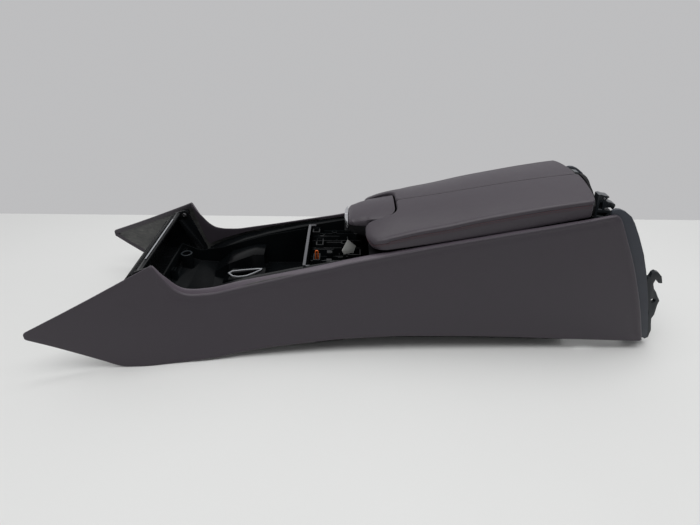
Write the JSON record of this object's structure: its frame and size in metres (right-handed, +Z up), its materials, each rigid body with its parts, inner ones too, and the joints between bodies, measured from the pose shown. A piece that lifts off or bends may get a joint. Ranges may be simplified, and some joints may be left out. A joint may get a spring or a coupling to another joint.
{
  "type": "car center console",
  "caption": "Leather-wrapped car centre console with flared pointed wings, an open selector well and a split armrest whose padded lids open outwards.",
  "frame": {"origin": "middle of the bounding box at floor level", "axes": "+X towards the rear of the car, +Z up, +Y to the car's right, and the wall on -Y is the car's left side panel"},
  "size_m": [1.0536, 0.376, 0.2864],
  "materials": {
    "panel_leather": "soft grained dark leather wrap",
    "lid_leather": "soft grained leather over foam",
    "black_gloss": "glossy moulded black",
    "black_matte": "fine matte moulded black",
    "bezel_black": "satin black",
    "bin_felt": "flocked mat",
    "wire_orange": "insulated wire",
    "tag_white": "plain white tag",
    "satin_silver": "satin silver",
    "steel": "plain steel",
    "screw_steel": "zinc-plated"
  },
  "bodies": {
    "root": {"left_side_panel": "panel_leather", "right_side_panel": "panel_leather", "nose_pad": "lid_leather", "console_carrier": "black_gloss", "front_cross_frame": "black_gloss", "selector_well": "black_gloss", "partition_plate": "black_gloss", "rear_frame": "black_gloss", "left_rear_tower": "black_gloss", "right_rear_tower": "black_gloss", "armrest_base": "black_matte", "nose_core": "black_matte", "storage_bin": "black_matte", "module_bracket": "black_matte", "latch_housing": "black_matte", "left_rear_clip": "black_matte", "right_rear_clip": "black_matte", "harness_socket": "black_matte", "slot_bezel": "bezel_black", "partition_trim": "bezel_black", "harness_plug": "bezel_black", "bin_mat": "bin_felt", "harness_wire": "wire_orange", "blank_tag": "tag_white", "left_hinge_pins": "steel", "right_hinge_pins": "steel", "left_button_springs": "steel", "right_button_springs": "steel", "latch_pins": "steel", "tower_rods": "steel", "left_front_foot": "steel", "right_front_foot": "steel", "left_rear_foot": "steel", "right_rear_foot": "steel", "panel_screws": "screw_steel", "wing_screws": "screw_steel", "rear_frame_screws": "screw_steel", "foot_screws": "screw_steel"},
    "left_lid": {"left_lid_pad": "lid_leather", "left_lid_plate": "black_matte", "left_lid_striker": "steel"},
    "right_lid": {"right_lid_pad": "lid_leather", "right_lid_plate": "black_matte", "right_lid_striker": "steel"},
    "left_release_button": {"left_release_button": "satin_silver"},
    "right_release_button": {"right_release_button": "satin_silver"},
    "left_latch_pawl": {"left_latch_pawl": "black_matte"},
    "right_latch_pawl": {"right_latch_pawl": "black_matte"}
  },
  "joints": [
    {"name": "left_lid_hinge", "type": "hinge", "parent": "root", "child": "left_lid", "pos_m": [0.088, -0.095, 0.19866], "axis": [0.9837, 0, 0.1796], "range_deg": [0, 65]},
    {"name": "right_lid_hinge", "type": "hinge", "parent": "root", "child": "right_lid", "pos_m": [0.088, 0.095, 0.19866], "axis": [-0.9837, 0, -0.1796], "range_deg": [0, 65]},
    {"name": "left_button_slide", "type": "slide", "parent": "root", "child": "left_release_button", "axis": [0, 0, -1], "range_m": [0, 0.0025], "stiffness_N_per_m": 400, "deforming": ["left_button_springs"]},
    {"name": "right_button_slide", "type": "slide", "parent": "root", "child": "right_release_button", "axis": [0, 0, -1], "range_m": [0, 0.0025], "stiffness_N_per_m": 400, "deforming": ["right_button_springs"]},
    {"name": "left_pawl_pivot", "type": "hinge", "parent": "root", "child": "left_latch_pawl", "pos_m": [0.076, -0.016, 0.1897], "axis": [0, -1, 0], "range_deg": [0, 12]},
    {"name": "right_pawl_pivot", "type": "hinge", "parent": "root", "child": "right_latch_pawl", "pos_m": [0.076, 0.016, 0.1897], "axis": [0, -1, 0], "range_deg": [0, 12]}
  ],
  "couplings": [
    {"joint": "left_pawl_pivot", "follows": "left_button_slide", "rad_per_m": 83.7},
    {"joint": "right_pawl_pivot", "follows": "right_button_slide", "rad_per_m": 83.7}
  ]
}
